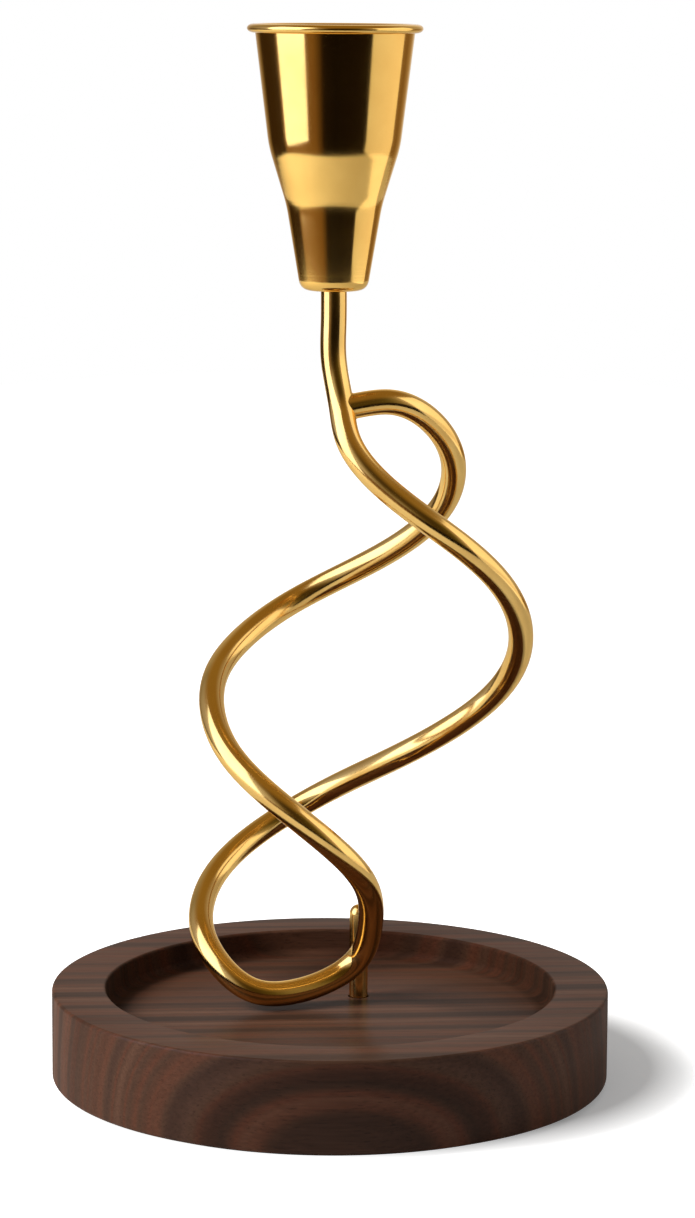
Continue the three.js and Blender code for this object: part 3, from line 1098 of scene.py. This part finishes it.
    def land(
        self, stem: BVHTree, circle: np.ndarray, middle: np.ndarray, way: np.ndarray, share: float
    ) -> np.ndarray:
        """Carries a circle along the rod's end until it meets the stem.

        Args:
            stem: Surface of the stem.
            circle: Points of the rod's last circle.
            middle: Its middle.
            way: Direction in which the rod's end points.
            share: Share of the circle's radius that is carried.

        Returns:
            Points on the stem.
        """
        made = []
        for point in circle:
            aside = (point - middle) * share
            # A ray that just misses the stem is tried again nearer to the middle.
            for shrink in (1.0, 0.96, 0.9, 0.8, 0.6):
                hit = stem.ray_cast(Vector(middle + aside * shrink - way), Vector(way), RAY_REACH)
                if hit[0] is not None:
                    break
            # The ray started 1 mm behind the circle.
            made.append(middle + aside + way * (hit[3] - 1))
        return np.array(made)

    def build_seam(
        self, stem: BVHTree, corner: np.ndarray, aside: np.ndarray, way: np.ndarray, braze: Material
    ) -> None:
        """Fills the corner between the rod's end and the stem, more below than above.

        Args:
            stem: Surface of the stem.
            corner: Points where the end meets the stem.
            aside: Ways from the end's centre line to those points.
            way: Direction in which the rod's end points.
            braze: Finish of the seam.
        """
        joint, rise = Vector(self.spot(self.joint_share)), Vector((0, 0, self.probe))
        up = np.array(stem.find_nearest(joint + rise)[0] - stem.find_nearest(joint - rise)[0])
        up /= np.linalg.norm(up)
        loops = []
        for point, outwards in zip(corner, aside / self.radius):
            lift = float(outwards.dot(up))
            leg = (self.fillet_over if lift > 0 else self.fillet_under) * max(abs(lift), self.fillet_least)
            on_end = point - way * leg
            on_stem = np.array(stem.find_nearest(Vector(point + up * math.copysign(leg, lift)))[0])
            root = point - outwards * self.root_in_end + way * self.root_in_stem
            loops.append(np.array(bow(on_end, point, on_stem, SEAM_STEPS) + [root]))
        seam = skin("stem_seam", loops, cyclic=True, crease=SEAM_CREASE)
        put("stem_seam", seam, braze, Slot.BRAZE, ["stem_braze"])


@dataclass
class LoopPost:
    """Slim brass post with a domed top, set in the dish's floor and brazed to the lower loop's back."""

    floor: float
    socket_depth: float
    diameter: float = 4.76
    height: float = 24.1
    # Height over the floor of the one row of points on the post's side.
    side_row: float = 6.0
    # Angle in degrees at which the dome's last row of points lies.
    dome_end: float = 84.0
    dome_steps: int = 12
    bead_reach: float = 1.25
    # Point that draws the bead's waist in, as a share of its reach, and radius of its hidden edge.
    bead_waist: float = 0.55
    bead_root: float = 0.2
    # How far on the post's side of the bead the rays start that find the rod.
    ray_start: float = 3.0
    bead_sides: int = 48
    sides: int = 64

    def build(self, rod: BVHTree, brass: Material, braze: Material, steel: Material) -> None:
        """Builds the post and its braze, and dresses its hidden screw and washer.

        Args:
            rod: Surface of the bent rod.
            brass: Finish of the post.
            braze: Finish of the seam.
            steel: Finish of the screw and washer.
        """
        x, y, _ = middle_of(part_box("post"))
        radius, foot, top = self.diameter / 2, self.floor - self.socket_depth, self.floor + self.height
        outline = Outline().to(0, foot).to(radius, foot).to(radius, self.floor + self.side_row)
        outline.arc(0, top - radius, radius, 0, self.dome_end, self.dome_steps).to(0, top)
        loops = outline.loops(self.sides, (x, y, 0.0))
        put("loop_post", skin("loop_post", loops), brass, Slot.BRASS, ["post"])
        level = middle_of(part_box("post_braze"))[2]
        touch = np.array(rod.find_nearest(Vector((x, y - radius, level)))[0])
        self.build_bead(rod, np.array([x, y]), touch, braze)
        for node in ("post_screw", "post_washer"):
            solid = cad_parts[node]
            solid.data.materials.clear()
            solid.data.materials.append(steel)

    def build_bead(self, rod: BVHTree, axis: np.ndarray, touch: np.ndarray, braze: Material) -> None:
        """Builds the bead of braze between the loop and the post.

        Args:
            rod: Surface of the bent rod.
            axis: X and Y of the post's middle.
            touch: Point of the rod next to the post.
            braze: Finish of the bead.
        """
        radius = self.diameter / 2
        through = np.array([*(axis - touch[:2]), 0.0])
        through /= np.linalg.norm(through)
        beside = np.array([-through[1], through[0], 0.0])
        post_face = np.array([*axis, touch[2]]) - through * radius
        middle = (touch + post_face) / 2
        loops = []
        for turn in np.arange(self.bead_sides) * 2 * math.pi / self.bead_sides:
            outwards = math.cos(turn) * beside + np.array([0, 0, math.sin(turn)])
            start = middle + outwards * self.bead_reach
            hit = rod.ray_cast(Vector(start + through * self.ray_start), Vector(-through), RAY_REACH)[0]
            on_rod = np.array(hit) if hit else touch + outwards * self.bead_reach
            aside = math.cos(turn) * self.bead_reach
            to_post = (axis - start[:2]).dot(through[:2]) - math.sqrt(radius ** 2 - aside ** 2)
            waist = middle + outwards * self.bead_reach * self.bead_waist
            root = middle + outwards * self.bead_root
            loops.append(np.array(bow(on_rod, waist, start + through * to_post, SEAM_STEPS) + [root]))
        seam = skin("post_seam", loops, cyclic=True, crease=SEAM_CREASE)
        put("post_seam", seam, braze, Slot.BRAZE, ["post_braze"])


@dataclass
class CandleCup:
    """Cup of three cones spun from brass sheet with a rolled lip, screwed to the rod's top."""

    wall: float = 1.2
    foot_radius: float = 8.2
    neck_radius: float = 11.7
    shoulder_radius: float = 16.0
    lip_radius: float = 19.7
    socket_height: float = 20.8
    shoulder_height: float = 14.0
    lip_height: float = 28.6
    bead_width: float = 3.4
    bead_height: float = 2.2
    # First and last angle of the rolled lip's bead, in degrees from outwards towards up.
    bead_arc: tuple[float, float] = (-100.0, 180.0)
    bead_steps: int = 28
    foot_rounding: float = 2.6
    bend_rounding: float = 2.5
    hole_radius: float = 2.15
    washer_radius: float = 4.4
    washer_thickness: float = 0.8
    washer_rounding: float = 0.15
    head_radius: float = 4.0
    head_height: float = 2.6
    shank_radius: float = 2.0
    shank_length: float = 8.0
    slot_width: float = 0.9
    # How far past the head the saw for its slot reaches, as a share of the head.
    saw_reach: float = 1.5
    sides: int = 192
    fastening_sides: int = 64

    def build(self, seat: float, brass: Material) -> None:
        """Builds the cup, its screw and its washer.

        Args:
            seat: Height of the rod's top.
            brass: Finish of all three.
        """
        neck, shoulder = self.socket_height, self.socket_height + self.shoulder_height
        lip = shoulder + self.lip_height
        out = [
            (self.hole_radius, 0.0), (self.foot_radius, 0.0), (self.neck_radius, neck),
            (self.shoulder_radius, shoulder), (self.lip_radius, lip),
        ]
        inn = [(radius - self.wall, height) for radius, height in out]
        inn[0], inn[1] = (self.hole_radius, self.wall), (inn[1][0], self.wall)
        outline = Outline().to(*out[0])
        outline.bend(out[0], out[1], out[2], self.foot_rounding)
        outline.bend(out[1], out[2], out[3], self.bend_rounding)
        outline.bend(out[2], out[3], out[4], self.bend_rounding)
        for turn in np.radians(np.linspace(*self.bead_arc, self.bead_steps + 1)):
            reach, rise = np.cos(turn) * self.bead_width / 2, np.sin(turn) * self.bead_height / 2
            outline.to(self.lip_radius + reach, lip + rise)
        outline.bend(inn[4], inn[3], inn[2], self.bend_rounding)
        outline.bend(inn[3], inn[2], inn[1], self.bend_rounding)
        outline.bend(inn[2], inn[1], inn[0], self.foot_rounding / 2)
        outline.to(*inn[0])
        loops = outline.loops(self.sides, (0.0, 0.0, seat))
        put("spun_cup", skin("spun_cup", loops, cyclic=True), brass, Slot.BRASS, ["candle_cup"])
        self.build_fastening(seat + self.wall, brass)

    def build_fastening(self, floor: float, brass: Material) -> None:
        """Builds the washer and the slotted screw on the cup's floor.

        Args:
            floor: Height of the cup's floor.
            brass: Finish of both.
        """
        hole, soft, sides = self.hole_radius, self.washer_rounding, self.fastening_sides
        outer, top = self.washer_radius, self.washer_thickness
        washer = Outline().to(hole, 0).to(outer, 0)
        washer.arc(outer - soft, top - soft, soft, 0, 90, 3).to(hole, top)
        ring_mesh = skin("cup_disc_washer", washer.loops(sides, (0.0, 0.0, floor)), cyclic=True)
        put("cup_disc_washer", ring_mesh, brass, Slot.BRASS, ["cup_washer"])
        under, rise = floor + top, self.head_height
        head = Outline().to(0, -self.shank_length).to(self.shank_radius, -self.shank_length)
        head.to(self.shank_radius, 0).to(self.head_radius, 0)
        head.bend((self.head_radius, 0), (self.head_radius, rise), (0, rise), rise / 2).to(0, rise)
        head_mesh = skin("slotted_screw", head.loops(sides, (0.0, 0.0, under)))
        screw = put("slotted_screw", head_mesh, brass, Slot.BRASS, ["cup_screw"])
        half, length = self.slot_width / 2, self.saw_reach * self.head_radius
        corners = np.array([(-length, -half, 0), (length, -half, 0), (length, half, 0), (-length, half, 0)])
        levels = (under + rise / 2, under + self.saw_reach * rise)
        bottom, over = (np.array([[0.0, 0.0, level]]) for level in levels)
        saw = link_object("slot_saw", skin("slot_saw", [bottom, corners + bottom, corners + over, over]))
        cut = screw.modifiers.new("slot", "BOOLEAN")
        cut.operation, cut.object, cut.solver = "DIFFERENCE", saw, "EXACT"
        solid = bpy.data.meshes.new_from_object(screw.evaluated_get(bpy.context.evaluated_depsgraph_get()))
        screw.modifiers.clear()
        screw.data = solid
        bpy.data.objects.remove(saw)


@dataclass(frozen=True)
class Softbox:
    """Flat studio lamp for mirror surfaces, which stands on one side and leans over the object.

    The foot is its lower edge's height over the table, and a face light of 1 is white.
    """

    name: str
    bearing: float
    distance: float
    foot: float
    lean: float
    width: float
    tall: float
    face_light: float
    colour: str

    def build(self) -> None:
        """Stands the lamp with its foot at its distance, facing the object."""
        lamp = bpy.data.lights.new(self.name, "AREA")
        lamp.shape, lamp.size, lamp.size_y = "RECTANGLE", self.width * MM, self.tall * MM
        lamp.energy = self.face_light * math.pi * self.width * self.tall * MM * MM
        lamp.color = linear(self.colour)[:3]
        holder = link_object(self.name, lamp)
        turn, lean = math.radians(self.bearing), math.radians(self.lean)
        outwards = Vector((math.sin(turn), math.cos(turn), 0))
        up = Vector((0, 0, 1)) * math.cos(lean) - outwards * math.sin(lean)
        foot = outwards * self.distance + Vector((0, 0, self.foot))
        holder.location = (foot + up * self.tall / 2) * MM
        facing = -outwards * math.cos(lean) - Vector((0, 0, 1)) * math.sin(lean)
        holder.rotation_euler = facing.to_track_quat("-Z", "Y").to_euler()
        holder.visible_camera = holder.visible_diffuse = False


@dataclass
class Studio:
    """Paper floor, lamps, surround and the camera at the photograph's place.

    Bearings and angles are degrees, bearings from straight behind the object to the right as the camera
    sees it.
    """

    eye: Point = (3.82, -940.0, 275.0)
    tilt: float = 9.353
    roll: float = 0.346
    focal: float = 113.44
    sensor: float = 36.0
    # Round sheet of paper under the object, drawn out behind its own middle.
    floor_radius: float = 610.0
    floor_back: float = 240.0
    floor_stretch: float = 2.5
    floor_rows: tuple[float, ...] = (0.0, 0.4, 0.7, 1.0)
    floor_sides: int = 96
    key_place: Point = (-840.0, -200.0, 760.0)
    key_size: float = 500.0
    key_watts: float = 11.0
    fill: float = 0.25
    # Upward part of a mirrored ray's direction, where the room turns to walls and the walls to ceiling.
    wall_starts: tuple[float, float] = (-0.08, 0.02)
    ceiling_starts: tuple[float, float] = (0.5, 0.85)
    ceiling: str = "#91763f"
    # Bearings and colours that mirrors show round the lamps: the dark room below the table's height, and
    # the walls above it, white behind and lit beside the lamps.
    room: tuple[tuple[float, str], ...] = (
        (-180.0, "#140e07"), (180.0, "#140e07"), (-162.0, "#1c140b"), (-147.0, "#7d6038"),
        (-120.0, "#8f6e45"), (-85.0, "#8f6e45"), (-80.0, "#3a2b18"), (-42.0, "#3a2b18"),
        (-30.0, "#8e7d62"), (-12.0, "#cfc9c2"), (0.0, "#fbfaf8"), (15.0, "#eae6e0"), (30.0, "#af9b7c"),
        (45.0, "#876d4a"), (62.0, "#8f754f"), (125.0, "#1c140b"),
    )
    walls: tuple[tuple[float, str], ...] = (
        (-180.0, "#453819"), (180.0, "#453819"), (-170.0, "#5d5030"), (-160.0, "#958c7c"),
        (-150.0, "#c3c3cb"), (-82.0, "#dae0ff"), (-72.0, "#b8b8cc"), (-50.0, "#a5a3a8"), (-38.0, "#8f8a86"),
        (-12.0, "#cfc9c2"), (0.0, "#fbfaf8"), (15.0, "#eae6e0"), (35.0, "#bcb8bc"), (60.0, "#b4aeaa"),
        (122.0, "#cbc3bc"), (135.0, "#958969"), (148.0, "#595027"), (165.0, "#453819"),
    )
    lamps: tuple[Softbox, ...] = (
        Softbox(
            "left_softbox", bearing=-111.0, distance=1082.0, foot=-120.0, lean=25.0,
            width=900.0, tall=1343.0, face_light=2.9, colour="#cadaff",
        ),
        Softbox(
            "right_panel", bearing=92.0, distance=430.0, foot=0.0, lean=0.0,
            width=530.0, tall=640.0, face_light=0.9, colour="#fcfdff",
        ),
    )

    def build(self, paper: Material) -> None:
        """Sets up floor, lamps, surround and camera.

        Args:
            paper: Finish of the floor.
        """
        bpy.context.scene.view_settings.view_transform = "Standard"
        circles = [
            ring(self.floor_radius * share, 0, self.floor_sides, y=self.floor_back)
            for share in self.floor_rows
        ]
        for circle in circles:
            behind = np.maximum(circle[:, 1] - self.floor_back, 0)
            circle[:, 1] += behind * (self.floor_stretch - 1)
        sheet = skin("paper_floor", circles)
        floor = link_object("paper_floor", sheet)
        sheet.materials.append(paper)
        for lamp in self.lamps:
            lamp.build()
        self.hang_key()
        self.surround()
        self.aim_camera()

    def hang_key(self) -> None:
        """Hangs the soft key lamp at the upper left, which lights matt surfaces only."""
        lamp = bpy.data.lights.new("key_lamp", "AREA")
        lamp.shape, lamp.size, lamp.energy = "DISK", self.key_size * MM, self.key_watts
        holder = link_object("key_lamp", lamp)
        holder.location = Vector(self.key_place) * MM
        holder.rotation_euler = (-holder.location).to_track_quat("-Z", "Y").to_euler()
        holder.visible_camera = holder.visible_glossy = False

    def surround(self) -> None:
        """Makes the surround: white to the camera, the room to mirrors and an even fill to the rest."""
        world = bpy.data.worlds.new("studio_surround")
        bpy.context.scene.world = world
        world.use_nodes = True
        tree = world.node_tree
        tree.nodes.clear()
        light = add_node(tree, "ShaderNodeLightPath")
        aim = add_node(tree, "ShaderNodeTexCoord")
        way = add_node(tree, "ShaderNodeSeparateXYZ", {0: aim.outputs["Generated"]})
        bearing = add_node(
            tree, "ShaderNodeMath", {0: way.outputs["X"], 1: way.outputs["Y"]}, operation="ARCTAN2"
        )
        share = add_node(
            tree,
            "ShaderNodeMapRange",
            {"Value": bearing.outputs[0], "From Min": -math.pi, "From Max": math.pi},
        )
        low, high = (
            add_node(
                tree,
                "ShaderNodeValToRGB",
                {"Fac": share.outputs[0]},
                stops=[(0.5 + degrees / 360, colour) for degrees, colour in tones],
            )
            for tones in (self.room, self.walls)
        )
        over_table, height = (
            add_node(
                tree, "ShaderNodeMapRange", {"Value": way.outputs["Z"], "From Min": first, "From Max": last}
            )
            for first, last in (self.wall_starts, self.ceiling_starts)
        )
        sides = add_node(
            tree,
            "ShaderNodeMix",
            {0: over_table.outputs[0], 6: low.outputs[0], 7: high.outputs[0]},
            data_type="RGBA",
        )
        room = add_node(
            tree,
            "ShaderNodeMix",
            {0: height.outputs[0], 6: sides.outputs[2], 7: linear(self.ceiling)},
            data_type="RGBA",
        )
        mirrored = add_node(
            tree,
            "ShaderNodeMath",
            {0: light.outputs["Is Glossy Ray"], 1: light.outputs["Is Transmission Ray"]},
            operation="MAXIMUM",
        )
        seen = add_node(
            tree,
            "ShaderNodeMix",
            {0: mirrored.outputs[0], 6: (self.fill, self.fill, self.fill, 1.0), 7: room.outputs[2]},
            data_type="RGBA",
        )
        seen = add_node(
            tree,
            "ShaderNodeMix",
            {0: light.outputs["Is Camera Ray"], 6: seen.outputs[2], 7: linear("#ffffff")},
            data_type="RGBA",
        )
        sky = add_node(tree, "ShaderNodeBackground", {"Color": seen.outputs[2]})
        add_node(tree, "ShaderNodeOutputWorld", {"Surface": sky.outputs[0]})

    def aim_camera(self) -> None:
        """Sets the camera where the photograph was taken."""
        lens = bpy.data.cameras.new("photo_camera")
        lens.lens, lens.sensor_width = self.focal, self.sensor
        camera = link_object("photo_camera", lens)
        camera.location = Vector(self.eye) * MM
        camera.rotation_mode = "ZYX"
        camera.rotation_euler = (math.radians(90 - self.tilt), 0, math.radians(self.roll))
        bpy.context.scene.camera = camera


def main() -> None:
    """Builds the candle holder and its studio."""
    logging.basicConfig(level=logging.INFO, format="%(name)s: %(message)s")
    walnut = LacqueredWalnut("turned_walnut_satin_lacquer").make()
    drawn = PolishedBrass("drawn_brass_polished").make()
    spun = PolishedBrass(
        "spun_brass_polished", making=Making.SPUN, bright="#efc268", deep="#e6b55b", gloss=0.1, dull=0.14
    ).make()
    braze = PolishedBrass("brazing_brass_polished", making=Making.BRAZED, gloss=0.18, dull=0.26).make()
    steel = ZincSteel("steel_zinc_plated").make()
    felt = PressedFelt("wool_felt_pressed").make()
    paper = PaperSweep("white_paper_matt").make()

    base = WalnutBase()
    base.build(walnut, felt)
    rod = SwirlRod(base.floor)
    surface = rod.build(drawn, braze)
    LoopPost(base.floor, base.socket_depth).build(surface, drawn, braze, steel)
    CandleCup().build(rod.seat, spun)
    Studio().build(paper)


if __name__ == "__main__":
    main()
